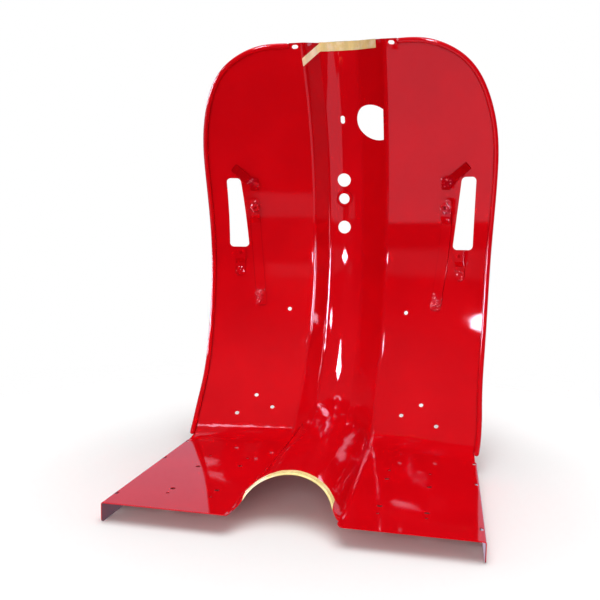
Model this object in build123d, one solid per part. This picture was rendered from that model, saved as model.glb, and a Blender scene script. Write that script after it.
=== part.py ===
"""Scooter leg shield: one red pressing with a tunnel, footboards, flanges and a rolled edge."""
import os
from functools import cache
from math import asin, atan2, cos, degrees, hypot, radians, sin, sqrt

from build123d import *

# Sheet and footboard in mm, lengths forward from the rear edge of the footboard
sheet = 1.2
floor_half_width = 225.0
flange_height = 25.0
flange_corner = 5.0
fold_radius = 2.5
bend_radius = 65.0

# Wings: a dished arc swung about a crosswise axis behind the shield
axis_y = 40.0
axis_z = 312.0
edge_radius = 407.0
edge_reach = 235.0
centre_radius_low = 428.0
centre_radius_high = 460.0
dish_low = -45.0
dish_high = -15.0

# Tunnel: its foot, its crest line and its rounded section
tunnel_half_width = 64.0
tunnel_floor_height = 38.0
crest_radius = 400.0
crest_bend = 120.0
crown_radius_high = 62.0
crown_radius_low = 80.0
crown_half_angle = 25.0
shoulder_high = 12.0
shoulder_low = 55.0
shoulder_end = -8.0
crease_radius = 8.0
arch_setback = 10.0
arch_slope = 1.17
arch_corner = 6.0

# Outline of the wings along the middle of the rolled edge: how far each point stands out from
# the footboard's side, with its height over the floor or its drop below the top edge
bead_radius = 4.0
bead_lap = 0.5
top_z = 636.5
top_slope = 0.33
low_outline = [(0.3, 4), (6, 75), (10, 150), (16, 305)]
high_outline = [(20.5, 211.5), (18, 150.5), (3, 91.5), (-24.5, 46), (-57.5, 21.5), (-105, 6)]
bead_end_x = 90.0
top_edge_x = 54.0
top_corner_run = 7.0

# Slots in the wings, corners as width and height in the front view
slot_corners = [(193, 430.5), (216, 430), (214, 309), (181, 309)]
slot_round = 7.0

# Holes: small ones in wings, top edge and footboard
wing_holes = [(105, 197.2), (139, 56.3), (108.1, 40), (164.4, 30.6)]
wing_hole = 7.0
top_hole_x = 77.0
top_hole_drop = 6.0
top_hole_length = 10.0
top_hole_height = 7.2
rail_x = 160.0
inner_rail_x = 103.5
bolt_hole = 7.0
rear_bolt_y = 65.5
front_bolt_y = 155.5
floor_holes = [(rail_x, rear_bolt_y, bolt_hole), (rail_x, front_bolt_y, bolt_hole),
               (rail_x, 49, 4.5), (rail_x, 207.3, 5), (inner_rail_x, 73.6, bolt_hole),
               (inner_rail_x, 50, 4.5), (inner_rail_x, 173, bolt_hole), (inner_rail_x, 209, 5)]
edge_slots = (33.0, 181.0, 268.0)
edge_slot_length = 9.0
edge_slot_width = 4.0
edge_slot_inset = 4.0

# Openings in the tunnel
crest_hole_x = -2.0
crest_holes = [(424.0, 22.5), (393.5, 18.2), (345.3, 21.7)]
crest_oval_z = 517.0
crest_oval_length = 13.4
crest_oval_width = 6.8
wall_hole_x = 49.0
wall_hole_z = 518.0
wall_hole_radius = 26.0
wall_hole_limit = 60.5

# Bent strips of the right wing: spot and aim as width and height in the front view, then the
# foot end, ramp start, ramp end and head end along the strip
strip_gap = 0.15
end_trim = 0.4
strap_spot = (166.5, 300)
strap_aim = (172, 390)
strap_marks = (-97, 54, 66, 94)
strap_thick = 2.0
strap_width = 17.0
strap_step = 10.0
tab_spot = (195.2, 275)
tab_aim = (195.8, 300)
tab_marks = (-18, 6, 14, 32)
tab_width = 15.5
tab_thick = 2.0
tab_step = 8.0
tab_hole = 5.2
clip_spot = (198, 445)
clip_aim = (166, 419)
clip_marks = (-7, 4, 25, 42)
clip_width = 14.0
clip_thick = 1.6
clip_step = 10.0
clip_plate_width = 15.0
clip_plate_height = 21.0
clip_plate_shift = 6.0

# Weld nuts and the ring on the crest
nut_across = 13.0
nut_height = 5.0
nut_bore = 6.0
nut_gap = 0.05
nut_hole_room = 0.25
collar_outer = 27.0
collar_height = 2.4
edge_chamfer = 0.5

# Masking tape over the two cut edges of the tunnel
tape_gap = 0.1
tape_thick = 0.35
top_tape_depth = 12.5
top_tape_left = -27.0
top_tape_right = 54.0
flap_start_x = -25.0
flap_run = (-29, 8, -20)
flap_width = 13.0
arch_tape_depth = 5.0
arch_tape_half = 54.0

# Places of the sections that shape tunnel and wings, and how far cutting blocks reach
level_stations = (-30, 30, 90, 140, 185)
tunnel_angles = (-57, -51, -46, -42, -38, -34, -29, -22, -14, -4, 8, 20, 32, 44, 56)
wing_angles = (-66, -54, -45, -38, -30, -22, -14, -4, 8, 20, 32, 44, 56)
spare = 50.0
below = 40.0
prism_length = 560.0
far = 650.0

mount_y = (rear_bolt_y + front_bolt_y) / 2


def blend(value, low, high):
    """Ease from 0 to 1 between two limits."""
    part = min(max((value - low) / (high - low), 0.0), 1.0)
    return part * part * (3 - 2 * part)


def centre_radius(angle):
    """Wing radius on the middle line, in the plane at this angle about the axis."""
    return centre_radius_low + (centre_radius_high - centre_radius_low) * blend(angle, dish_low, dish_high)


def wing_radius(x, angle):
    """Wing radius at a distance x from the middle, along a round arc across the shield."""
    sag = centre_radius(angle) - edge_radius
    across = (edge_reach ** 2 + sag ** 2) / (2 * sag)
    return centre_radius(angle) - across + sqrt(across ** 2 - x ** 2)


def wing_depth(point):
    """How far a point lies beyond the rider's side of the wing."""
    across, along = point.Y - axis_y, point.Z - axis_z
    return hypot(across, along) - wing_radius(point.X, degrees(atan2(along, across)))


def bend_start(x):
    """Length of the level floor at x, up to where it bends into the wing."""
    return axis_y + sqrt((wing_radius(x, dish_low) - bend_radius) ** 2 - (axis_z - bend_radius) ** 2)


def wing_point(x, z):
    """Point of the rider's side of the wing at x and height z, bend into the floor included."""
    angle = 0.0
    for _ in range(40):
        angle = degrees(asin((z - axis_z) / wing_radius(x, angle)))
    bend_drop = axis_z - bend_radius
    bend_run = bend_start(x) - axis_y
    if angle < -degrees(atan2(bend_drop, bend_run)):
        return Vector(x, axis_y + bend_run + sqrt(bend_radius ** 2 - (bend_radius - z) ** 2), z)
    return Vector(x, axis_y + wing_radius(x, angle) * cos(radians(angle)), z)


def wing_normal(x, z):
    """Direction from the wing towards the rider."""
    step = 0.25
    side = wing_point(x + step, z) - wing_point(x - step, z)
    rise = wing_point(x, z + step) - wing_point(x, z - step)
    return side.cross(rise).normalized()


def wing_plane(x, z, towards):
    """Plane on the wing, z towards the rider, y along the wing towards another (x, z) spot."""
    origin = wing_point(x, z)
    normal = wing_normal(x, z)
    up = wing_point(*towards) - origin
    return Plane(origin=origin, x_dir=up.cross(normal), z_dir=normal)


def wing_rise(plane, y):
    """Height of the wing over such a plane at a distance y along it."""
    low, high = -30.0, 30.0
    for _ in range(40):
        middle = (low + high) / 2
        if wing_depth(plane.from_local_coords(Vector(0, y, middle))) > 0:
            low = middle
        else:
            high = middle
    return low


def fan_plane(angle):
    """Plane through the wing axis, its own y pointing outward at this angle."""
    turn = radians(angle)
    return Plane(origin=(0, axis_y, axis_z), x_dir=(1, 0, 0), z_dir=(0, -sin(turn), cos(turn)))


def crest_plane(x, z):
    """Plane on the tunnel crest, z towards the rider."""
    turn = asin((z - axis_z) / crest_radius)
    origin = (x, axis_y + crest_radius * cos(turn), z)
    return Plane(origin=origin, x_dir=(1, 0, 0), z_dir=(0, -cos(turn), -sin(turn)))


def crest_reach(angle):
    """Distance from the axis to the tunnel crest: level, then a bend, then one long arc."""
    turn = radians(angle)
    level = (axis_z - tunnel_floor_height) / max(sin(-turn), 0.01)
    drop = axis_z - tunnel_floor_height - crest_bend
    run = sqrt((crest_radius - crest_bend) ** 2 - drop ** 2)
    if angle > -degrees(atan2(drop, run)):
        return crest_radius
    if level * cos(turn) < run:
        return level
    along = run * cos(turn) - drop * sin(turn)
    return along + sqrt(along ** 2 - run ** 2 - drop ** 2 + crest_bend ** 2)


def tunnel_outline(plane, base, height, base_rise, crown, shoulder, inset):
    """Closed tunnel section on a plane: crown arc, two shoulder arcs and two slanted walls."""
    crown_turn = radians(crown_half_angle)
    edge_x = crown * sin(crown_turn)
    edge_h = height - crown * (1 - cos(crown_turn))
    low, high = radians(30), radians(85)
    for _ in range(50):
        wall = (low + high) / 2
        end_x = edge_x + shoulder * (sin(wall) - sin(crown_turn))
        end_h = edge_h + shoulder * (cos(wall) - cos(crown_turn))
        foot_x = end_x + (end_h - base_rise) * cos(wall) / sin(wall)
        if foot_x > tunnel_half_width:
            low = wall
        else:
            high = wall
    reach = (end_h - base_rise) / sin(wall) + 24
    middle = (crown_turn + wall) / 2
    hub_x = edge_x - shoulder * sin(crown_turn)
    hub_h = edge_h - shoulder * cos(crown_turn)
    small = shoulder - inset

    def spot(x, h):
        return (x, base - h)

    def left(point):
        return (-point[0], point[1])

    crown_end = spot(hub_x + small * sin(crown_turn), hub_h + small * cos(crown_turn))
    round_mid = spot(hub_x + small * sin(middle), hub_h + small * cos(middle))
    round_end = spot(hub_x + small * sin(wall), hub_h + small * cos(wall))
    foot = (round_end[0] + reach * cos(wall), round_end[1] + reach * sin(wall))
    edges = [
        ThreePointArc(left(crown_end), spot(0, height - inset), crown_end),
        ThreePointArc(crown_end, round_mid, round_end),
        Line(round_end, foot),
        Line(foot, left(foot)),
        Line(left(foot), left(round_end)),
        ThreePointArc(left(round_end), left(round_mid), left(crown_end)),
    ]
    return plane * make_face(edges)


@cache
def tunnel_solid(inset):
    """Tunnel lofted from its level run over the footboard, through the bend and up the shield."""
    sections = []
    for y in level_stations:
        plane = Plane(origin=(0, y, 0), x_dir=(1, 0, 0), z_dir=(0, 1, 0))
        sections.append(tunnel_outline(plane, 0, tunnel_floor_height, 0, crown_radius_low,
                                       shoulder_low, inset))
    for angle in tunnel_angles:
        floor_reach = axis_z / sin(radians(-angle)) if angle < 0 else 1e6
        base = min(floor_reach, centre_radius(angle))
        rise = base - min(floor_reach, wing_radius(tunnel_half_width, angle))
        shoulder = shoulder_low + (shoulder_high - shoulder_low) * blend(angle, tunnel_angles[0], shoulder_end)
        sections.append(tunnel_outline(fan_plane(angle), base, base - crest_reach(angle), rise,
                                       crown_radius_high, shoulder, inset))
    return loft(sections)


def former(inset):
    """Solid behind the sheet: dished wings, floor and tunnel, every inner corner rounded."""
    wide = edge_reach + spare
    sections = []
    for angle in wing_angles:
        side = wing_radius(wide, angle) + inset
        edges = [
            ThreePointArc((-wide, side), (0, centre_radius(angle) + inset), (wide, side)),
            Line((wide, side), (wide, far)),
            Line((wide, far), (-wide, far)),
            Line((-wide, far), (-wide, side)),
        ]
        sections.append(fan_plane(angle) * make_face(edges))
    body = loft(sections) + Pos(0, 170, -inset - 30) * Box(2 * wide, 400, 60)
    bend = [e for e in body.edges() if abs(e.center().Z + inset) < 0.01 and e.center().Y > 250
            and e.length > 300]
    body = fillet(bend, bend_radius + inset) + tunnel_solid(inset)
    creases = [e for e in body.edges() if 50 < abs(e.center().X) < 75 and e.length > 40]
    return fillet(creases, crease_radius + inset)


def front_plane(y):
    """Front view at a distance y: x across, y up, z towards the rider."""
    return Plane(origin=(0, y, 0), x_dir=(1, 0, 0), z_dir=(0, -1, 0))


def outline_curve():
    """Rolled edge of the right wing in the front view, bottom to top."""
    points = [(floor_half_width + out, z) for out, z in low_outline]
    points += [(floor_half_width + out, top_z - drop) for out, drop in high_outline]
    points.append((bead_end_x, top_z - bead_radius))
    return Spline(*points, tangents=[(0.3, 1), (-1, 0.05)])


def outline_prism():
    """Front view of the sheet as a long block: floor width below, rounded wings above."""
    side = outline_curve()
    start, end = side @ 0, side @ 1
    floor_x = floor_half_width - fold_radius
    low = [(0, -below), (floor_x, -below), (floor_x, start.Y), start]
    high = [end, (end.X - top_corner_run, top_z), (0, top_z)]
    half = [*Polyline(*low).edges(), side, *Polyline(*high).edges(), Line((0, top_z), (0, -below))]
    face = make_face(half)
    face = face + mirror(face, about=Plane.YZ)
    return extrude(front_plane(0) * face, -prism_length)


def top_plane():
    """Plane of the cut top edge, z out of the sheet."""
    top_y = wing_point(top_edge_x, top_z).Y
    return Plane(origin=(0, top_y, top_z), x_dir=(1, 0, 0), z_dir=(0, -top_slope, 1))


def arch_plane():
    """Plane of the slanted arch at the rear of the tunnel, z out of the sheet."""
    return Plane(origin=(0, arch_setback, 0), x_dir=(1, 0, 0), z_dir=(0, -1, arch_slope))


def block(x0, x1, y0, y1, z0, z1):
    """Box between two corners."""
    return Pos((x0 + x1) / 2, (y0 + y1) / 2, (z0 + z1) / 2) * Box(x1 - x0, y1 - y0, z1 - z0)


def edge_cuts():
    """Waste beyond the top edge and inside the rear arch, with the rounded arch corners."""
    half = tunnel_half_width - 1
    tools = [top_plane() * block(-6 * spare, 6 * spare, -4 * spare, 4 * spare, 0, 3 * below),
             arch_plane() * block(-half, half, -1.5 * below, 2.6 * spare, 0, 3 * below)]
    deep = 8 * sheet
    corner_radius = arch_corner + 1
    hub = (half + arch_corner - 0.5, corner_radius - 0.2)
    for side in (-1, 1):
        square = Pos(side * half, 0, 0) * Box(2 * hub[0] - 2 * half, 2 * hub[1], deep)
        round_off = Pos(side * hub[0], hub[1], 0) * Cylinder(corner_radius, 2 * deep)
        tools.append(square - round_off)
    return tools


def flange(side):
    """Turned-down edge of one footboard, fold included."""
    inner = fold_radius - sheet
    x = floor_half_width - fold_radius
    quarter = sin(radians(45))
    edges = [
        Line((x, -sheet), (x, 0)),
        ThreePointArc((x, 0), (x + fold_radius * quarter, fold_radius * (quarter - 1)),
                      (floor_half_width, -fold_radius)),
        Line((floor_half_width, -fold_radius), (floor_half_width, -flange_height)),
        Line((floor_half_width, -flange_height), (floor_half_width - sheet, -flange_height)),
        Line((floor_half_width - sheet, -flange_height), (floor_half_width - sheet, -fold_radius)),
        ThreePointArc((floor_half_width - sheet, -fold_radius),
                      (x + inner * quarter, -fold_radius + inner * quarter), (x, -sheet)),
    ]
    front = bend_start(floor_half_width) - fold_radius
    plate = extrude(front_plane(0) * make_face(edges), -front)
    corners = [e for e in plate.edges() if abs(e.center().Z + flange_height) < 0.01
               and abs(e.length - sheet) < 0.01]
    plate = fillet(corners, flange_corner)
    return plate if side > 0 else mirror(plate, about=Plane.YZ)


def bead(side):
    """Edge rolled towards the rider, from the floor corner over the top corner."""
    outline = outline_curve()
    steps = 32
    spots = []
    for step in range(steps + 1):
        place = outline @ (step / steps)
        lift = wing_normal(place.X, place.Y) * (bead_radius - sheet - bead_lap)
        spots.append(wing_point(place.X, place.Y) + lift)
    path = Spline(*spots)
    start = Plane(origin=path @ 0, z_dir=path % 0)
    tube = sweep(start * Circle(bead_radius), path=path)
    tube += Plane(origin=path @ 0, z_dir=path % 0) * Sphere(bead_radius)
    tube += Plane(origin=path @ 1, z_dir=path % 1) * Sphere(bead_radius)
    return tube if side > 0 else mirror(tube, about=Plane.YZ)


def wing_slot(side):
    """Tapered slot through one wing."""
    face = make_face(Polyline(*slot_corners, close=True))
    face = fillet(face.vertices(), slot_round)
    tool = extrude(front_plane(axis_y + edge_radius - 1.34 * spare) * face, -2.8 * spare)
    return tool if side > 0 else mirror(tool, about=Plane.YZ)


def small_holes(side):
    """Round and oblong holes of one half: wing, top edge, footboard and fold."""
    tools = []
    for x, z in wing_holes:
        tools.append(wing_plane(x, z, (x, z + 20)) * Cylinder(wing_hole / 2, 20))
    z = top_z - top_hole_drop
    oval = SlotOverall(top_hole_length, top_hole_height)
    tools.append(wing_plane(top_hole_x, z, (top_hole_x, z - 20)) * extrude(oval, 10, both=True))
    for x, y, size in floor_holes:
        tools.append(Pos(x, y, 0) * Cylinder(size / 2, 12))
    for y in edge_slots:
        oval = Pos(floor_half_width - edge_slot_inset, y, 0) * Rot(0, 0, 90) * SlotOverall(
            edge_slot_length, edge_slot_width)
        tools.append(extrude(oval, 2.4, both=True))
    return [tool if side > 0 else mirror(tool, about=Plane.YZ) for tool in tools]


def tunnel_openings():
    """Round holes and a small oval along the crest and the cut circle in the right wall."""
    tools = [crest_plane(crest_hole_x, z) * Cylinder(size / 2, 40) for z, size in crest_holes]
    oval = Rot(0, 0, 90) * SlotOverall(crest_oval_length, crest_oval_width)
    tools.append(crest_plane(0, crest_oval_z) * extrude(oval, 15, both=True))
    y = axis_y + crest_radius * cos(asin((wall_hole_z - axis_z) / crest_radius))
    round_cut = Pos(wall_hole_x, y, wall_hole_z) * Rot(90, 0, 0) * Cylinder(wall_hole_radius, 3 * spare)
    tools.append(round_cut & block(0, wall_hole_limit, 0, far, 0, far))
    return tools


def shield_panel():
    """The whole pressing."""
    body = (former(0) & outline_prism()) - former(sheet)
    body = body - edge_cuts() + [flange(-1), flange(1), bead(-1), bead(1)]
    tools = tunnel_openings()
    for side in (-1, 1):
        tools.append(wing_slot(side))
        tools += small_holes(side)
    return body - tools


def joggled_strip(plane, marks, width, thick, step, foot_round, head_round, level_head=False):
    """Bent strip: a foot along the wing, a ramp and a raised head. Gives the strip and its head plane."""
    foot, foot_end, head, head_end = marks
    middle = (foot + foot_end) / 2
    heights = [wing_rise(plane, y) + strip_gap for y in (foot, middle, foot_end)]
    head_height = wing_rise(plane, head) + strip_gap + step
    end_height = head_height if level_head else wing_rise(plane, head_end) + strip_gap + step
    spots = [(foot, heights[0]), (middle, heights[1]), (foot_end, heights[2]), (head, head_height),
             (head_end, end_height)]
    turns = [atan2(b[1] - a[1], b[0] - a[0]) for a, b in zip(spots, spots[1:])]

    def lifted(spot, before, after):
        mean = (before + after) / 2
        reach = thick / cos((after - before) / 2)
        return (spot[0] - reach * sin(mean), spot[1] + reach * cos(mean))

    upper = [lifted(spot, turns[max(i - 1, 0)], turns[min(i, 3)]) for i, spot in enumerate(spots)]
    edges = [ThreePointArc(*spots[:3]), Line(spots[2], spots[3]), Line(spots[3], spots[4]),
             Line(spots[4], upper[4]), Line(upper[4], upper[3]), Line(upper[3], upper[2]),
             ThreePointArc(upper[2], upper[1], upper[0]), Line(upper[0], spots[0])]
    side_view = Plane(origin=plane.origin, x_dir=plane.y_dir, z_dir=plane.x_dir)
    strip = extrude(side_view * make_face(edges), width / 2, both=True)
    plan = Pos(0, (foot + head_end) / 2) * Rectangle(width, head_end - foot - 2 * end_trim)
    corners = plan.vertices().sort_by(Axis.Y)
    plan = fillet(corners[:2], foot_round)
    plan = fillet(plan.vertices().sort_by(Axis.Y)[-2:], head_round)
    strip = strip & plane * extrude(plan, 40, both=True)
    origin = plane.from_local_coords(Vector(0, (upper[3][0] + upper[4][0]) / 2, (upper[3][1] + upper[4][1]) / 2))
    lean = Vector(0, -sin(turns[3]), cos(turns[3]))
    normal = plane.from_local_coords(lean) - plane.from_local_coords(Vector(0, 0, 0))
    return strip, Plane(origin=origin, x_dir=plane.x_dir, z_dir=normal)


def strap_and_nut():
    """Long strap beside the right slot and the weld nut on its head."""
    plane = wing_plane(*strap_spot, strap_aim)
    strap, head = joggled_strip(plane, strap_marks, strap_width, strap_thick, strap_step, 4, 5)
    strap -= head * Cylinder(nut_bore / 2 + nut_hole_room, 4 * strap_thick)
    nut = extrude(RegularPolygon(nut_across / 2, 6, major_radius=False), nut_height)
    nut = chamfer(nut.edges().group_by(Axis.Z)[-1], edge_chamfer)
    nut -= Cylinder(nut_bore / 2, 4 * nut_height)
    return strap, head * Pos(0, 0, nut_gap) * nut


def lower_tab():
    """Short tab under the right slot with a hole in its head."""
    plane = wing_plane(*tab_spot, tab_aim)
    tab, head = joggled_strip(plane, tab_marks, tab_width, tab_thick, tab_step, 0.42 * tab_width, 1.5)
    return tab - head * Cylinder(tab_hole / 2, 4 * tab_thick)


def upper_clip():
    """Clip at the upper end of the right slot: a slanting ramp and an upright square head."""
    plane = wing_plane(*clip_spot, clip_aim)
    clip, head = joggled_strip(plane, clip_marks, clip_width, clip_thick, clip_step, 1.5, 1, True)
    lean = degrees(atan2(clip_spot[0] - clip_aim[0], clip_spot[1] - clip_aim[1]))
    square = RectangleRounded(clip_plate_width, clip_plate_height, 1.5)
    plate = extrude(Rot(0, 0, lean) * square, -clip_thick)
    return clip + head * Pos(0, clip_plate_shift, 0) * plate


def collar():
    """Ring standing on the crest round the middle hole."""
    z, size = crest_holes[1]
    ring = Cylinder(collar_outer / 2, 2 * collar_height) - Cylinder(size / 2, 4 * collar_height)
    ring = chamfer(ring.edges().group_by(Axis.Z)[-1], edge_chamfer)
    return crest_plane(crest_hole_x, z) * ring - tunnel_solid(-strip_gap)


def tape_over(edge_plane, depth, x0, x1, y0, y1):
    """Tape folded over a cut edge of the tunnel, one leg on each face."""
    far = tape_gap + tape_thick
    outer = (tunnel_solid(-far) & edge_plane * block(x0, x1, y0, y1, -depth, far)) - tunnel_solid(sheet + far)
    inner = tunnel_solid(-tape_gap) & edge_plane * block(x0 - 5, x1 + 5, y0, y1, -depth - 5, tape_gap)
    return outer - (inner - tunnel_solid(sheet + tape_gap))


def crown_edge(x):
    """Point of the top edge on the tunnel crown at x, and the way down along the tunnel."""
    reach = crest_radius + crown_radius_high - sqrt(crown_radius_high ** 2 - x ** 2)
    low, high = 30.0, 60.0
    for _ in range(40):
        angle = (low + high) / 2
        y = axis_y + reach * cos(radians(angle))
        z = axis_z + reach * sin(radians(angle))
        if top_plane().to_local_coords(Vector(x, y, z)).Z > 0:
            high = angle
        else:
            low = angle
    return Vector(x, y, z), Vector(0, sin(radians(angle)), -cos(radians(angle)))


def tape_flap():
    """Loose end of the top tape, hanging down towards the left."""
    start, down = crown_edge(flap_start_x)
    run = Vector(*flap_run)
    normal = run.cross(down).normalized()
    sag = flap_width ** 2 / (2 * crest_radius)
    start = start + normal * (tape_gap + sag)
    drop = down * flap_width
    corners = [start, start + run, start + run + drop, start + drop]
    return extrude(make_face(Polyline(*corners, close=True)), tape_thick, dir=normal)


def top_tape():
    """Masking tape over the top edge of the tunnel."""
    span = (top_tape_left, top_tape_right, -2.6 * spare, 1.2 * spare)
    return tape_over(top_plane(), top_tape_depth, *span) + tape_flap()


def arch_tape():
    """Masking tape along the rear arch."""
    span = (-arch_tape_half, arch_tape_half, -0.3 * spare, 1.5 * spare)
    return tape_over(arch_plane(), arch_tape_depth, *span)


if __name__ == "__main__":
    os.makedirs("parts", exist_ok=True)
    strap, nut = strap_and_nut()
    right = {"strap": strap, "lower_tab": lower_tab(), "upper_clip": upper_clip()}
    nodes = {"shield_panel": shield_panel(), "tunnel_collar": collar(), "top_edge_tape": top_tape(),
             "arch_edge_tape": arch_tape()}
    for name, shape in right.items():
        nodes["right_" + name] = shape
        nodes["left_" + name] = mirror(shape, about=Plane.YZ)
    nodes["strap_weld_nuts"] = Compound(children=[nut, mirror(nut, about=Plane.YZ)])
    for name, shape in nodes.items():
        export_step(Pos(0, -mount_y, 0) * shape, "parts/" + name + ".step")
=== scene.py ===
"""Scooter leg shield: glossy red enamel, welded brackets and masking tape, in a pale studio."""
import math
import random
from collections import namedtuple

import bmesh
import bpy
from bpy.props import FloatProperty, FloatVectorProperty, PointerProperty
from mathutils import Euler, Matrix, Vector, noise


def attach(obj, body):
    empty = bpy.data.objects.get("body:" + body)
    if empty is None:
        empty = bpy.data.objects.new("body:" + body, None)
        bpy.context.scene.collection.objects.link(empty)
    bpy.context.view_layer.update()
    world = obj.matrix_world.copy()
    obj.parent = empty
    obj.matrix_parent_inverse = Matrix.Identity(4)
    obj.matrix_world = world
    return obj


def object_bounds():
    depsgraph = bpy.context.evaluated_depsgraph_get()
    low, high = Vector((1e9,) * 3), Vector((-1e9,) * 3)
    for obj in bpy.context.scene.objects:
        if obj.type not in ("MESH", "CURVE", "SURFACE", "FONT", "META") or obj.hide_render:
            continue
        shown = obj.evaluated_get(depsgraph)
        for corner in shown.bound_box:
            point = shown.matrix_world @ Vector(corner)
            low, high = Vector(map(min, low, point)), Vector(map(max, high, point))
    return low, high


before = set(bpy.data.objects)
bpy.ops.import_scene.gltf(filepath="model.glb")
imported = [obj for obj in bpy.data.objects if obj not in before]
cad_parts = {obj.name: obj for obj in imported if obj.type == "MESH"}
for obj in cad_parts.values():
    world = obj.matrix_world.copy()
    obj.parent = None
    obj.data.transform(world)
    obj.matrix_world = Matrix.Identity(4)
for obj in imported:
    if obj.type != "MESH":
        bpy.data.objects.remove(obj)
cad_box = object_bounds()

bl_info = {
    "name": "Scooter leg shield",
    "version": (1, 0, 0),
    "blender": (4, 5, 0),
    "location": "View3D > Sidebar > Leg shield",
    "description": "Paints the leg shield, adds its welds and tape, and sets up the studio",
    "category": "Object",
}

PAINTED_NODES = ("shield_panel", "tunnel_collar")
BRACKET_NODES = (
    "left_strap", "right_strap", "strap_weld_nuts", "left_lower_tab", "right_lower_tab")
CLIP_NODES = ("left_upper_clip", "right_upper_clip")
TAPE_NODES = ("top_edge_tape", "arch_edge_tape")

# Grain of each noise, with its scale per metre
Grain = namedtuple("Grain", "scale detail roughness")
CLOUDS = Grain(9.0, 3.0, 0.5)
PEEL = Grain(260.0, 2.0, 0.5)
DUST = Grain(900.0, 1.0, 0.5)
LUMPS = Grain(420.0, 3.0, 0.6)
BEND_WAVES = Grain(28.0, 1.0, 0.5)
CREPE = Grain(1400.0, 2.0, 0.5)
BLOTCHES = Grain(70.0, 4.0, 0.65)
CREASES = Grain(120.0, 4.0, 0.7)

# Enamel: the part of each noise that is used and what it turns into
CLOUD_NOISE = (0.3, 0.7)
CLOUD_SHADE = (0.95, 1.05)
HAZE_NOISE = (0.35, 0.75)
HAZE_ROUGHNESS = (0.0, 0.025)
DUST_NOISE = (0.66, 0.72)
DUST_ROUGHNESS = (0.0, 0.05)

# Enamel: share of the colour that a painted shade takes away on the underside, and how strongly each
# kind mirrors
UNDERSIDE_PAINTED_SHADE = 0.72
ENAMEL_IOR = 1.5
ENAMEL_SPECULAR = 0.5
CLIP_SPECULAR = 0.0
DROP_SPECULAR = 0.9

# Enamel: heights in metres where the waves of the bend set in and die out, and where the lean starts
BEND_FOOT = (0.002, 0.02)
BEND_TOP = (0.05, 0.16)
LEAN_START = 0.42

# Enamel: painted shade near corners, from an occlusion node: how open a corner is where that painted
# shade is full and where it ends, and samples for that
CREVICE_OPENNESS = (0.3, 0.85)
CREVICE_SAMPLES = 8

# Tape: the part of each noise that is used and what it turns into, with fades in metres
CREPE_STRETCH = (1.0, 0.12, 0.12)
CREPE_NOISE = (0.2, 0.8)
CREPE_ROUGHNESS = (0.62, 0.9)
BLOTCH_NOISE = (0.45, 0.72)
BLOTCH_PALENESS = (0.0, 0.8)
# The crease lines of the tape carry a painted shade
CREASE_NOISE = (0.3, 0.6)
CREASE_PAINTED_SHADE = (0.86, 1.03)
LOOSE_FADE = 0.004
LOOSE_PALENESS = (0.75, 0.0)
BRIM_FADE = 0.002
BRIM_SHARE = (0.0, 0.7)

# Tape: size of a wrinkle in metres, level that stays in place, and how often faces are split
WRINKLE_SPREAD = 0.011
WRINKLE_MIDDLE = 0.2
WRINKLE_SUBDIVISIONS = 2

# Where drops of weld sit: the bracket, two heights above its lower end in metres, and their number
WeldSpot = namedtuple("WeldSpot", "bracket low high drops")
NUT_SPOT = WeldSpot("strap_weld_nuts", 0.0, 0.03, 18)
SIDE_SPOTS = (
    WeldSpot("strap", 0.0, 0.026, 34),
    WeldSpot("strap", 0.155, 0.19, 12),
    WeldSpot("lower_tab", 0.0, 0.02, 14),
    WeldSpot("upper_clip", 0.0, 0.02, 16),
)

# Drops of weld: radius as a share of the largest, then their shape as shares of the radius
DROP_SIZE = (0.5, 1.0)
DROP_WIDTH = (0.7, 1.3)
DROP_THICKNESS = (0.15, 0.25)
DROP_UNEVENNESS = 0.06

# Drops of weld: spread of the random tilt, turn upward, and how far faces that hold drops may turn away
DROP_TILT = math.radians(22)
DROP_LIFT = math.radians(14)
FACING_LIMIT = 0.2

# Drops of weld: seed of the random numbers, and scale and offset of the noise that shapes a drop
DROP_SEED = 11
DROP_NOISE_SCALE = 1.3
DROP_NOISE_SPREAD = 40

# Ring of weld round a nut: drops, jitter in steps, share of the radius and depth in metres
RING_DROPS = 13
RING_JITTER = 0.3
RING_REACH = (0.86, 1.04)
RING_DEPTH = (0.0005, 0.002)

# Bright areas that the gloss mirrors, by azimuth from the rider's side and elevation, in degrees
Glow = namedtuple("Glow", "name azimuth elevation half_width half_height edge corner level")
GLOWS = (
    Glow("pale floor on the left", -43, -50, 24.5, 41, 0.03, 0, 0.72),
    Glow("skirting", -30, 5, 13, 3, 0.9, 0, 0.22),
    Glow("low patch", 12, -15, 8, 3.5, 0.5, 0, 0.3),
    Glow("shelf", 9, 9, 6, 2, 0.5, 0, 0.18),
    Glow("wall lamp", -50, 24, 2.4, 3.2, 0.35, 0.7, 45),
    Glow("tall lamp", -71, 13, 13, 14, 0.12, 0.6, 40),
    Glow("near lamp", -9, 4, 9, 2.8, 0.12, 1, 70),
    Glow("ceiling lamp", -10, 50, 10, 10.5, 0.12, 1, 70),
    Glow("side window", -97, 8, 6, 12, 0.3, 0, 4),
    Glow("ceiling strip", 0, 84, 100, 1.6, 0.5, 0, 8),
)

# Rest of the mirrored room: dim upper part by elevation in degrees, and a pale backdrop to the front
DIM_ELEVATIONS = (5.0, 60.0)
DIM_LEVELS = (0.008, 0.15)
BACKDROP_START = (0.35, 0.6)
BACKDROP_LEVELS = (0.0, 0.72)
PLAIN_WHITE = (1, 1, 1, 1)
MIRRORED_TINT = (0.95, 0.76, 1, 1)

# Soft lamps, each with the setting that holds its power
Lamp = namedtuple("Lamp", "name place target size power")
LAMPS = (
    Lamp("top light", (0.2, -0.2, 2.6), (0, 0.15, 0.2), 2.2, "top_power"),
    Lamp("front light", (0.1, -2.0, 0.4), (0, 0.2, 0.2), 1.4, "front_power"),
)

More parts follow.
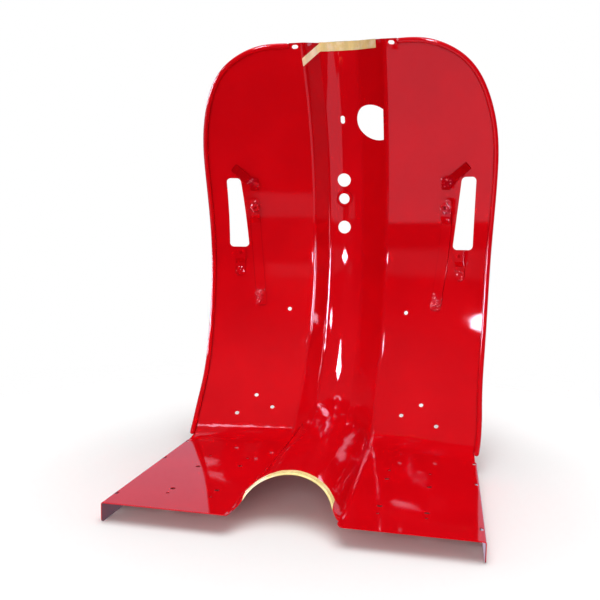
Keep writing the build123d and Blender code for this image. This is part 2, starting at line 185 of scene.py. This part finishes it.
# Floor: place in metres, share of the radius where it starts to fade, and where its glow sets in
FLOOR_Y = 0.1
FLOOR_SIDES = 96
FLOOR_FADE_START = 0.3
FLOOR_GLOW_START = (0.2, 0.6)
FLOOR_COLOUR = (0.92, 0.92, 0.92, 1)
FLOOR_ROUGHNESS = 0.9

# Camera: width of the sensor in millimetres and nearest distance in metres
SENSOR_WIDTH = 36.0
NEAR_CLIP = 0.01


class LegShieldPaint(bpy.types.PropertyGroup):
    """Red enamel of the pressing and its brackets."""
    colour: FloatVectorProperty(
        name="Colour", description="Colour of the enamel", subtype="COLOR", size=3, min=0, max=1,
        default=(0.59, 0.0012, 0.0050))
    roughness: FloatProperty(
        name="Roughness", description="Roughness of the smooth gloss", default=0.04, min=0, max=1)
    peel: FloatProperty(
        name="Orange peel", description="Depth of the fine waves in the gloss", default=0.000012,
        unit="LENGTH", min=0)
    weld_unevenness: FloatProperty(
        name="Weld unevenness", description="Depth of the lumps in the paint over the brackets",
        default=0.00008, unit="LENGTH", min=0)
    beaten: FloatProperty(
        name="Uneven bend", description="Depth of the waves that forming left in the bend",
        default=0.0007, unit="LENGTH", min=0)
    lean: FloatProperty(
        name="Upper lean", description="How fast the gloss leans over the upper shield",
        default=0.38, min=0)
    # Underside reach and height bound a painted shade: inside this half width and below this height the
    # enamel colour is made darker
    underside_x: FloatProperty(
        name="Underside reach", description="Half width of the thinly painted underside",
        default=0.2243, unit="LENGTH")
    underside_z: FloatProperty(
        name="Underside height", description="Height below which the paint is thin",
        default=-0.0018, unit="LENGTH")
    # Crevice reach and crevice shade set a painted shade: the enamel colour is made darker near corners
    crevice: FloatProperty(
        name="Crevice reach", description="How far from a corner the paint looks darker",
        default=0.008, unit="LENGTH", min=0)
    crevice_painted_shade: FloatProperty(
        name="Crevice shade", description="Share of the colour that is left in a deep corner",
        default=0.4, min=0, max=1)
    # Clip shade is a painted shade: the clips keep only this share of the enamel colour
    clip_painted_shade: FloatProperty(
        name="Clip shade", description="Share of the colour that the dull clips keep",
        default=0.62, min=0, max=1)
    weld_size: FloatProperty(
        name="Weld drop size", description="Radius of the largest drops of weld",
        default=0.0024, unit="LENGTH", min=0)
    weld_ring: FloatProperty(
        name="Weld ring", description="Radius of the ring of weld round a nut",
        default=0.0076, unit="LENGTH", min=0)


class LegShieldTape(bpy.types.PropertyGroup):
    """Masking tape on the cut edges."""
    colour: FloatVectorProperty(
        name="Colour", description="Colour of the tape", subtype="COLOR", size=3, min=0, max=1,
        default=(0.85, 0.69, 0.29))
    pale_colour: FloatVectorProperty(
        name="Pale colour", description="Colour of blotches and the loose end", subtype="COLOR",
        size=3, min=0, max=1, default=(0.96, 0.82, 0.58))
    brim_colour: FloatVectorProperty(
        name="Brim colour", description="Colour of the tape along the top edge", subtype="COLOR",
        size=3, min=0, max=1, default=(0.72, 0.70, 0.50))
    brim_z: FloatProperty(
        name="Brim height", description="Height above which the tape has the brim colour",
        default=0.6325, unit="LENGTH")
    loose_x: FloatProperty(
        name="Loose end", description="Where the pale loose end starts, across the shield",
        default=-0.030, unit="LENGTH")
    crepe: FloatProperty(
        name="Crepe", description="Depth of the fine crepe lines", default=0.00012, unit="LENGTH",
        min=0)
    wrinkle: FloatProperty(
        name="Wrinkle", description="Height of the wrinkles", default=0.0009, unit="LENGTH", min=0)


class LegShieldStudio(bpy.types.PropertyGroup):
    """Camera, floor and light."""
    eye: FloatVectorProperty(
        name="Camera place", description="Where the camera stands", subtype="TRANSLATION", size=3,
        default=(0.1757, -0.8413, 0.3115))
    yaw: FloatProperty(
        name="Yaw", description="Turn of the camera to the left", default=math.radians(12.26),
        subtype="ANGLE")
    pitch: FloatProperty(
        name="Pitch", description="Tilt of the camera down", default=math.radians(4.53),
        subtype="ANGLE")
    roll: FloatProperty(
        name="Roll", description="Lean of the camera", default=math.radians(-0.89), subtype="ANGLE")
    lens: FloatProperty(
        name="Lens", description="Focal length for a 36 mm sensor in millimetres", default=40.854,
        min=1)
    floor_z: FloatProperty(
        name="Floor height", description="Height of the floor under the side flanges",
        default=cad_box[0].z, unit="LENGTH")
    floor_radius: FloatProperty(
        name="Floor radius", description="Radius of the round floor", default=1.1, unit="LENGTH")
    floor_glow: FloatProperty(
        name="Floor glow", description="Light added to the floor as the camera sees it",
        default=0.25, min=0)
    fill: FloatProperty(
        name="Fill", description="Soft light from all round", default=0.36, min=0)
    top_power: FloatProperty(
        name="Top light", description="Power of the soft light overhead", default=46, unit="POWER",
        min=0)
    front_power: FloatProperty(
        name="Front light", description="Power of the soft light beside the camera", default=27,
        unit="POWER", min=0)


def new_material(name):
    """New node material. Gives it with its tree and its surface shader."""
    material = bpy.data.materials.new(name)
    material.use_nodes = True
    tree = material.node_tree
    shader = tree.nodes["Principled BSDF"]
    return material, tree, shader


def feed(tree, value, socket):
    """Link an output to a socket, or set the socket to a number or colour."""
    if isinstance(value, bpy.types.NodeSocket):
        tree.links.new(value, socket)
    else:
        socket.default_value = value


def math_node(tree, operation, *values, clamp=False):
    """Maths node whose inputs are sockets or numbers. Gives its output."""
    node = tree.nodes.new("ShaderNodeMath")
    node.operation = operation
    node.use_clamp = clamp
    for socket, value in zip(node.inputs, values):
        feed(tree, value, socket)
    return node.outputs[0]


def range_node(tree, value, source, target):
    """Map a value smoothly from one range to another, clamped. Gives the output."""
    node = tree.nodes.new("ShaderNodeMapRange")
    node.interpolation_type = "SMOOTHSTEP"
    tree.links.new(value, node.inputs["Value"])
    sockets = ("From Min", "From Max", "To Min", "To Max")
    for socket, number in zip(sockets, (*source, *target)):
        node.inputs[socket].default_value = number
    return node.outputs["Result"]


def noise_node(tree, coords, grain):
    """Noise texture of a grain. Gives its value output."""
    node = tree.nodes.new("ShaderNodeTexNoise")
    node.inputs["Scale"].default_value = grain.scale
    node.inputs["Detail"].default_value = grain.detail
    node.inputs["Roughness"].default_value = grain.roughness
    tree.links.new(coords, node.inputs["Vector"])
    return node.outputs["Fac"]


def mix_node(tree, factor, first, second):
    """Mix two colours. Gives the mixed colour."""
    node = tree.nodes.new("ShaderNodeMix")
    node.data_type = "RGBA"
    tree.links.new(factor, node.inputs["Factor"])
    feed(tree, first, node.inputs["A"])
    feed(tree, second, node.inputs["B"])
    return node.outputs["Result"]


def scale_node(tree, colour, factor):
    """Make a colour darker or lighter. Gives the scaled colour."""
    node = tree.nodes.new("ShaderNodeVectorMath")
    node.operation = "SCALE"
    tree.links.new(colour, node.inputs[0])
    tree.links.new(factor, node.inputs["Scale"])
    return node.outputs[0]


def split_node(tree, coords):
    """Split a place or direction. Gives its X, Y and Z outputs."""
    node = tree.nodes.new("ShaderNodeSeparateXYZ")
    tree.links.new(coords, node.inputs[0])
    return node.outputs


def add_bump(tree, height, shader):
    """Tilt a shader's normals by a height in metres."""
    bump = tree.nodes.new("ShaderNodeBump")
    bump.inputs["Distance"].default_value = 1.0
    tree.links.new(height, bump.inputs["Height"])
    tree.links.new(bump.outputs["Normal"], shader.inputs["Normal"])


def new_group(name, inputs, outputs):
    """Shader node group with named sockets. Gives the tree and its two end nodes."""
    tree = bpy.data.node_groups.new(name, "ShaderNodeTree")
    for socket, kind in inputs:
        tree.interface.new_socket(socket, in_out="INPUT", socket_type=kind)
    for socket, kind in outputs:
        tree.interface.new_socket(socket, in_out="OUTPUT", socket_type=kind)
    return tree, tree.nodes.new("NodeGroupInput"), tree.nodes.new("NodeGroupOutput")


def enamel_group():
    """Shared enamel: cloudy colour, painted shade on the underside, hazy gloss, and the height of its
    waves.
    """
    name = "Enamel"
    if name in bpy.data.node_groups:
        return bpy.data.node_groups[name]
    numbers = ("Roughness", "Peel", "Lumps", "Beaten", "Lean", "Underside X", "Underside Z")
    inputs = [("Colour", "NodeSocketColor")]
    inputs += [(number, "NodeSocketFloat") for number in numbers]
    outputs = (("Colour", "NodeSocketColor"), ("Roughness", "NodeSocketFloat"),
               ("Height", "NodeSocketFloat"))
    tree, start, end = new_group(name, inputs, outputs)
    setting = start.outputs
    place = tree.nodes.new("ShaderNodeTexCoord").outputs["Object"]
    x, _, z = split_node(tree, place)
    clouds = noise_node(tree, place, CLOUDS)

    # Colour: cloudy tone, with painted shade on the underside
    below = math_node(tree, "LESS_THAN", z, setting["Underside Z"])
    inside = math_node(tree, "LESS_THAN", math_node(tree, "ABSOLUTE", x), setting["Underside X"])
    darkened_by_painted_shade = math_node(tree, "MULTIPLY", math_node(tree, "MULTIPLY", below, inside), UNDERSIDE_PAINTED_SHADE)
    shade = range_node(tree, clouds, CLOUD_NOISE, CLOUD_SHADE)
    shade = math_node(tree, "MULTIPLY", shade, math_node(tree, "SUBTRACT", 1.0, darkened_by_painted_shade))
    tree.links.new(scale_node(tree, setting["Colour"], shade), end.inputs["Colour"])

    # Roughness
    haze = range_node(tree, clouds, HAZE_NOISE, HAZE_ROUGHNESS)
    dust = range_node(tree, noise_node(tree, place, DUST), DUST_NOISE, DUST_ROUGHNESS)
    gloss = math_node(tree, "ADD", setting["Roughness"], haze)
    tree.links.new(math_node(tree, "ADD", gloss, dust), end.inputs["Roughness"])

    # Height
    peel = math_node(tree, "MULTIPLY", noise_node(tree, place, PEEL), setting["Peel"])
    lumps = math_node(tree, "MULTIPLY", noise_node(tree, place, LUMPS), setting["Lumps"])
    height = math_node(tree, "ADD", peel, lumps)
    bend = range_node(tree, z, BEND_TOP, (1.0, 0.0))
    bend = math_node(tree, "MULTIPLY", bend, range_node(tree, z, BEND_FOOT, (0.0, 1.0)))
    beaten = math_node(tree, "MULTIPLY", noise_node(tree, place, BEND_WAVES), setting["Beaten"])
    height = math_node(tree, "ADD", height, math_node(tree, "MULTIPLY", beaten, bend))
    above = math_node(tree, "MAXIMUM", math_node(tree, "SUBTRACT", z, LEAN_START), 0.0)
    lean = math_node(tree, "MULTIPLY", math_node(tree, "MULTIPLY", above, above), setting["Lean"])
    tree.links.new(math_node(tree, "SUBTRACT", height, lean), end.inputs["Height"])
    return tree


def enamel_material(name, lumps=0.0, lean=0.0, beaten=0.0, underside=(0.0, -1.0), shade=1.0,
                    specular=ENAMEL_SPECULAR):
    """Glossy red enamel, lumpy where it runs over welds, with painted shade on the underside and in
    corners.
    """
    paint = bpy.context.scene.leg_shield_paint
    material, tree, shader = new_material(name)
    group = tree.nodes.new("ShaderNodeGroup")
    group.node_tree = enamel_group()
    settings = {
        "Colour": (*(shade * part for part in paint.colour), 1.0),
        "Roughness": paint.roughness,
        "Peel": paint.peel,
        "Lumps": lumps,
        "Lean": lean,
        "Beaten": beaten,
        "Underside X": underside[0],
        "Underside Z": underside[1],
    }
    for socket, value in settings.items():
        group.inputs[socket].default_value = value
    # Painted shade: an occlusion node darkens the enamel colour near corners
    crevice = tree.nodes.new("ShaderNodeAmbientOcclusion")
    crevice.samples = CREVICE_SAMPLES
    crevice.inputs["Distance"].default_value = paint.crevice
    dark = range_node(tree, crevice.outputs["AO"], CREVICE_OPENNESS, (paint.crevice_painted_shade, 1.0))
    colour = scale_node(tree, group.outputs["Colour"], dark)
    tree.links.new(colour, shader.inputs["Base Color"])
    tree.links.new(group.outputs["Roughness"], shader.inputs["Roughness"])
    add_bump(tree, group.outputs["Height"], shader)
    shader.inputs["IOR"].default_value = ENAMEL_IOR
    shader.inputs["Specular IOR Level"].default_value = specular
    return material


def tape_material():
    """Creped paper tape: fine lines across it, pale blotches, painted shade along the crease lines and a
    brim.
    """
    tape = bpy.context.scene.leg_shield_tape
    material, tree, shader = new_material("creped masking tape")
    place = tree.nodes.new("ShaderNodeTexCoord").outputs["Object"]
    x, _, z = split_node(tree, place)
    stretch = tree.nodes.new("ShaderNodeVectorMath")
    stretch.operation = "MULTIPLY"
    stretch.inputs[1].default_value = CREPE_STRETCH
    tree.links.new(place, stretch.inputs[0])
    lines = stretch.outputs[0]
    blotches = range_node(tree, noise_node(tree, place, BLOTCHES), BLOTCH_NOISE, BLOTCH_PALENESS)
    loose = range_node(tree, x, (tape.loose_x - LOOSE_FADE, tape.loose_x), LOOSE_PALENESS)
    pale = math_node(tree, "ADD", blotches, loose, clamp=True)
    colour = mix_node(tree, pale, (*tape.colour, 1.0), (*tape.pale_colour, 1.0))
    brim = range_node(tree, z, (tape.brim_z - BRIM_FADE, tape.brim_z), BRIM_SHARE)
    colour = mix_node(tree, brim, colour, (*tape.brim_colour, 1.0))
    # Painted shade: the colour is darkened in stretched lines where the crepe is folded
    crease_painted_shade = range_node(tree, noise_node(tree, lines, CREASES), CREASE_NOISE, CREASE_PAINTED_SHADE)
    tree.links.new(scale_node(tree, colour, crease_painted_shade), shader.inputs["Base Color"])
    crepe = noise_node(tree, lines, CREPE)
    rough = range_node(tree, crepe, CREPE_NOISE, CREPE_ROUGHNESS)
    tree.links.new(rough, shader.inputs["Roughness"])
    add_bump(tree, math_node(tree, "MULTIPLY", crepe, tape.crepe), shader)
    return material


def assign(node_names, material):
    """Give CAD nodes a material."""
    for name in node_names:
        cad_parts[name].material_slots[0].material = material


class LEGSHIELD_OT_panel(bpy.types.Operator):
    """Paint the pressing and the ring on its crest"""
    bl_idname = "legshield.panel"
    bl_label = "Pressing"

    def execute(self, context):
        paint = context.scene.leg_shield_paint
        underside = (paint.underside_x, paint.underside_z)
        enamel = enamel_material(
            "glossy red enamel", lean=paint.lean, beaten=paint.beaten, underside=underside)
        assign(PAINTED_NODES, enamel)
        return {"FINISHED"}


class LEGSHIELD_OT_brackets(bpy.types.Operator):
    """Paint the welded brackets and nuts"""
    bl_idname = "legshield.brackets"
    bl_label = "Brackets"

    def execute(self, context):
        paint = context.scene.leg_shield_paint
        lumps = paint.weld_unevenness
        assign(BRACKET_NODES, enamel_material("red enamel over welds", lumps))
        # The clips lose their gloss and get a painted shade, a darker colour
        dull = enamel_material(
            "dull red enamel", lumps, shade=paint.clip_painted_shade, specular=CLIP_SPECULAR)
        assign(CLIP_NODES, dull)
        return {"FINISHED"}


def facing_points(node, spot, source):
    """Random points on a bracket, between a spot's two heights, on faces not turned from the rider."""
    mesh = node.data
    turn = node.matrix_world.to_3x3()
    corners = [node.matrix_world @ vertex.co for vertex in mesh.vertices]
    bottom = min(corner.z for corner in corners)
    mesh.calc_loop_triangles()
    faces = []
    areas = []
    for face in mesh.loop_triangles:
        middle = sum((corners[index] for index in face.vertices), Vector()) / 3
        facing = (turn @ face.normal).y < FACING_LIMIT
        if facing and spot.low <= middle.z - bottom <= spot.high:
            faces.append(face)
            areas.append(face.area)
    points = []
    for face in source.choices(faces, areas, k=spot.drops):
        first, second = sorted((source.random(), source.random()))
        shares = (first, second - first, 1 - second)
        parts = (share * corners[index] for share, index in zip(shares, face.vertices))
        points.append(sum(parts, Vector()))
    return points


def ring_points(node, radius, source):
    """Points round the left and the right solid of a node, in the upright plane across the shield."""
    corners = [node.matrix_world @ vertex.co for vertex in node.data.vertices]
    points = []
    for side in (-1, 1):
        near = [corner for corner in corners if corner.x * side > 0]
        centre = sum(near, Vector()) / len(near)
        for step in range(RING_DROPS):
            angle = 2 * math.pi * (step + source.uniform(-RING_JITTER, RING_JITTER)) / RING_DROPS
            reach = radius * source.uniform(*RING_REACH)
            depth = source.uniform(*RING_DEPTH)
            offset = Vector((math.cos(angle) * reach, depth, math.sin(angle) * reach))
            points.append(centre + offset)
    return points


def add_drop(form, centre, radius, source):
    """One drop of weld under paint: flat and uneven, tilted at random and a little upward."""
    made = bmesh.ops.create_icosphere(form, subdivisions=2, radius=1.0)["verts"]
    shift = Vector((source.random(), source.random(), source.random())) * DROP_NOISE_SPREAD
    width = source.uniform(*DROP_WIDTH)
    thickness = source.uniform(*DROP_THICKNESS)
    stretch = Vector((width, thickness, source.uniform(*DROP_WIDTH)))
    nod = source.gauss(-DROP_LIFT, DROP_TILT)
    tilt = Euler((nod, 0, source.gauss(0, DROP_TILT))).to_matrix()
    for vertex in made:
        swell = 1 + DROP_UNEVENNESS * noise.noise(vertex.co * DROP_NOISE_SCALE + shift)
        vertex.co = centre + radius * swell * (tilt @ (vertex.co * stretch))


class LEGSHIELD_OT_welds(bpy.types.Operator):
    """Add the drops of weld on the feet and heads of the brackets"""
    bl_idname = "legshield.welds"
    bl_label = "Weld drops"

    def execute(self, context):
        paint = context.scene.leg_shield_paint
        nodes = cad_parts
        source = random.Random(DROP_SEED)
        form = bmesh.new()
        points = ring_points(nodes[NUT_SPOT.bracket], paint.weld_ring, source)
        points += facing_points(nodes[NUT_SPOT.bracket], NUT_SPOT, source)
        for side in ("left", "right"):
            for spot in SIDE_SPOTS:
                points += facing_points(nodes[f"{side}_{spot.bracket}"], spot, source)
        for point in points:
            add_drop(form, point, paint.weld_size * source.uniform(*DROP_SIZE), source)
        mesh = bpy.data.meshes.new("weld_drops")
        form.to_mesh(mesh)
        form.free()
        mesh.shade_smooth()
        mesh.materials.append(enamel_material("red enamel on weld drops", specular=DROP_SPECULAR))
        drops = bpy.data.objects.new("weld_drops", mesh)
        context.scene.collection.objects.link(drops)
        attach(drops, "root")
        return {"FINISHED"}


class LEGSHIELD_OT_tape(bpy.types.Operator):
    """Give the tape its creped paper and its wrinkles"""
    bl_idname = "legshield.tape"
    bl_label = "Masking tape"

    def execute(self, context):
        assign(TAPE_NODES, tape_material())
        cloud = bpy.data.textures.new("tape wrinkles", "CLOUDS")
        cloud.noise_scale = WRINKLE_SPREAD
        for name in TAPE_NODES:
            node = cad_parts[name]
            finer = node.modifiers.new("finer", "SUBSURF")
            finer.subdivision_type = "SIMPLE"
            finer.levels = WRINKLE_SUBDIVISIONS
            finer.render_levels = WRINKLE_SUBDIVISIONS
            wrinkles = node.modifiers.new("wrinkles", "DISPLACE")
            wrinkles.texture = cloud
            wrinkles.texture_coords = "LOCAL"
            wrinkles.mid_level = WRINKLE_MIDDLE
            wrinkles.strength = context.scene.leg_shield_tape.wrinkle
        return {"FINISHED"}


def glow_group():
    """One bright area of the room: a soft rectangle or diamond in azimuth and elevation."""
    numbers = ("Azimuth", "Elevation", "Centre Azimuth", "Centre Elevation", "Half Width",
               "Half Height", "Edge", "Corner", "Level")
    inputs = [(number, "NodeSocketFloat") for number in numbers]
    tree, start, end = new_group("Room glow", inputs, (("Light", "NodeSocketFloat"),))
    setting = start.outputs
    offsets = []
    for axis, half in (("Azimuth", "Half Width"), ("Elevation", "Half Height")):
        offset = math_node(tree, "SUBTRACT", setting[axis], setting[f"Centre {axis}"])
        offset = math_node(tree, "ABSOLUTE", offset)
        offsets.append(math_node(tree, "DIVIDE", offset, setting[half]))
    square = math_node(tree, "MAXIMUM", *offsets)
    diamond = math_node(tree, "ADD", *offsets)
    excess = math_node(tree, "SUBTRACT", diamond, square)
    cut = math_node(tree, "MULTIPLY", excess, setting["Corner"])
    reach = math_node(tree, "SUBTRACT", math_node(tree, "ADD", square, cut), 1.0)
    faded = math_node(tree, "DIVIDE", reach, setting["Edge"])
    inside = math_node(tree, "SUBTRACT", 1.0, faded, clamp=True)
    tree.links.new(math_node(tree, "MULTIPLY", inside, setting["Level"]), end.inputs["Light"])
    return tree


def room_light(tree):
    """Brightness that the gloss mirrors in each direction: a dim room, a pale backdrop and the glows."""
    x, y, z = split_node(tree, tree.nodes.new("ShaderNodeTexCoord").outputs["Generated"])
    back = math_node(tree, "MULTIPLY", y, -1.0)
    azimuth = math_node(tree, "DEGREES", math_node(tree, "ARCTAN2", x, back))
    elevation = math_node(tree, "DEGREES", math_node(tree, "ARCSINE", z))
    light = range_node(tree, elevation, DIM_ELEVATIONS, DIM_LEVELS)
    backdrop = range_node(tree, y, BACKDROP_START, BACKDROP_LEVELS)
    light = math_node(tree, "MAXIMUM", light, backdrop)
    group = glow_group()
    for glow in GLOWS:
        node = tree.nodes.new("ShaderNodeGroup")
        node.node_tree = group
        node.label = glow.name
        settings = {
            "Azimuth": azimuth,
            "Elevation": elevation,
            "Centre Azimuth": glow.azimuth,
            "Centre Elevation": glow.elevation,
            "Half Width": glow.half_width,
            "Half Height": glow.half_height,
            "Edge": glow.edge,
            "Corner": glow.corner,
            "Level": glow.level,
        }
        for socket, value in settings.items():
            feed(tree, value, node.inputs[socket])
        light = math_node(tree, "MAXIMUM", light, node.outputs["Light"])
    return light


def make_world(studio):
    """White to the camera, the room to the gloss, and an even fill for all else."""
    world = bpy.data.worlds.new("Studio")
    bpy.context.scene.world = world
    world.use_nodes = True
    tree = world.node_tree
    background = tree.nodes["Background"]
    path = tree.nodes.new("ShaderNodeLightPath")
    camera = path.outputs["Is Camera Ray"]
    glossy = path.outputs["Is Glossy Ray"]
    mirrored = math_node(tree, "MULTIPLY", room_light(tree), glossy)
    unseen = math_node(tree, "SUBTRACT", 1.0, camera)
    unseen = math_node(tree, "SUBTRACT", unseen, glossy, clamp=True)
    fill = math_node(tree, "MULTIPLY", unseen, studio.fill)
    total = math_node(tree, "ADD", math_node(tree, "ADD", mirrored, fill), camera)
    tint = mix_node(tree, glossy, PLAIN_WHITE, MIRRORED_TINT)
    tree.links.new(tint, background.inputs["Color"])
    tree.links.new(total, background.inputs["Strength"])


def make_floor(studio):
    """Round pale floor whose rim fades out."""
    mesh = bpy.data.meshes.new("floor")
    form = bmesh.new()
    bmesh.ops.create_circle(form, cap_ends=True, segments=FLOOR_SIDES, radius=studio.floor_radius)
    form.to_mesh(mesh)
    form.free()
    floor = bpy.data.objects.new("floor", mesh)
    floor.location = (0, FLOOR_Y, studio.floor_z)
    bpy.context.scene.collection.objects.link(floor)
    material, tree, shader = new_material("pale floor")
    length = tree.nodes.new("ShaderNodeVectorMath")
    length.operation = "LENGTH"
    place = tree.nodes.new("ShaderNodeTexCoord").outputs["Object"]
    tree.links.new(place, length.inputs[0])
    distance = length.outputs["Value"]
    rim = (FLOOR_FADE_START * studio.floor_radius, studio.floor_radius)
    tree.links.new(range_node(tree, distance, rim, (1.0, 0.0)), shader.inputs["Alpha"])
    seen = tree.nodes.new("ShaderNodeLightPath").outputs["Is Camera Ray"]
    glow = range_node(tree, distance, FLOOR_GLOW_START, (0.0, studio.floor_glow))
    tree.links.new(math_node(tree, "MULTIPLY", seen, glow), shader.inputs["Emission Strength"])
    shader.inputs["Base Color"].default_value = FLOOR_COLOUR
    shader.inputs["Emission Color"].default_value = PLAIN_WHITE
    shader.inputs["Roughness"].default_value = FLOOR_ROUGHNESS
    shader.inputs["Specular IOR Level"].default_value = 0.0
    mesh.materials.append(material)
    floor.visible_glossy = False


def make_lamp(lamp, studio):
    """Soft square lamp that shows in no mirror image."""
    data = bpy.data.lights.new(lamp.name, "AREA")
    data.shape = "SQUARE"
    data.size = lamp.size
    data.energy = getattr(studio, lamp.power)
    made = bpy.data.objects.new(lamp.name, data)
    made.location = lamp.place
    ahead = Vector(lamp.target) - Vector(lamp.place)
    made.rotation_euler = ahead.to_track_quat("-Z", "Y").to_euler()
    made.visible_camera = False
    made.visible_glossy = False
    bpy.context.scene.collection.objects.link(made)


def make_camera(studio):
    """Camera at the photograph's viewing angle."""
    yaw, pitch, roll = studio.yaw, studio.pitch, studio.roll
    flat = math.cos(pitch)
    ahead = Vector((-math.sin(yaw) * flat, math.cos(yaw) * flat, -math.sin(pitch)))
    level = Vector((math.cos(yaw), math.sin(yaw), 0))
    below = ahead.cross(level)
    right = math.cos(roll) * level + math.sin(roll) * below
    up = math.sin(roll) * level - math.cos(roll) * below
    data = bpy.data.cameras.new("camera")
    data.lens = studio.lens
    data.sensor_width = SENSOR_WIDTH
    data.clip_start = NEAR_CLIP
    camera = bpy.data.objects.new("camera", data)
    turn = Matrix((right, up, -ahead)).transposed().to_4x4()
    camera.matrix_world = Matrix.Translation(studio.eye) @ turn
    bpy.context.scene.collection.objects.link(camera)
    bpy.context.scene.camera = camera


class LEGSHIELD_OT_stage(bpy.types.Operator):
    """Set up the floor, the light and the camera"""
    bl_idname = "legshield.stage"
    bl_label = "Studio"

    def execute(self, context):
        studio = context.scene.leg_shield_studio
        context.scene.view_settings.view_transform = "Standard"
        make_world(studio)
        make_floor(studio)
        for lamp in LAMPS:
            make_lamp(lamp, studio)
        make_camera(studio)
        return {"FINISHED"}


OPERATORS = (LEGSHIELD_OT_panel, LEGSHIELD_OT_brackets, LEGSHIELD_OT_welds, LEGSHIELD_OT_tape,
             LEGSHIELD_OT_stage)
SETTINGS = {"leg_shield_paint": LegShieldPaint, "leg_shield_tape": LegShieldTape,
            "leg_shield_studio": LegShieldStudio}


class LEGSHIELD_PT_sidebar(bpy.types.Panel):
    """Settings and steps of the leg shield"""
    bl_idname = "LEGSHIELD_PT_sidebar"
    bl_label = "Leg shield"
    bl_space_type = "VIEW_3D"
    bl_region_type = "UI"
    bl_category = "Leg shield"

    def draw(self, context):
        column = self.layout.column()
        for name, settings in SETTINGS.items():
            box = column.box()
            for key in settings.__annotations__:
                box.prop(getattr(context.scene, name), key)
        for operator in OPERATORS:
            column.operator(operator.bl_idname)


def register():
    """Register the settings, the operators and the panel."""
    for name, settings in SETTINGS.items():
        bpy.utils.register_class(settings)
        setattr(bpy.types.Scene, name, PointerProperty(type=settings))
    for item in (*OPERATORS, LEGSHIELD_PT_sidebar):
        bpy.utils.register_class(item)


def unregister():
    """Take everything that register added away again."""
    for item in reversed((*OPERATORS, LEGSHIELD_PT_sidebar)):
        bpy.utils.unregister_class(item)
    for name, settings in SETTINGS.items():
        delattr(bpy.types.Scene, name)
        bpy.utils.unregister_class(settings)


def main():
    """Build the scene."""
    register()
    bpy.ops.legshield.panel()
    bpy.ops.legshield.brackets()
    bpy.ops.legshield.welds()
    bpy.ops.legshield.tape()
    bpy.ops.legshield.stage()


if __name__ == "__main__":
    main()
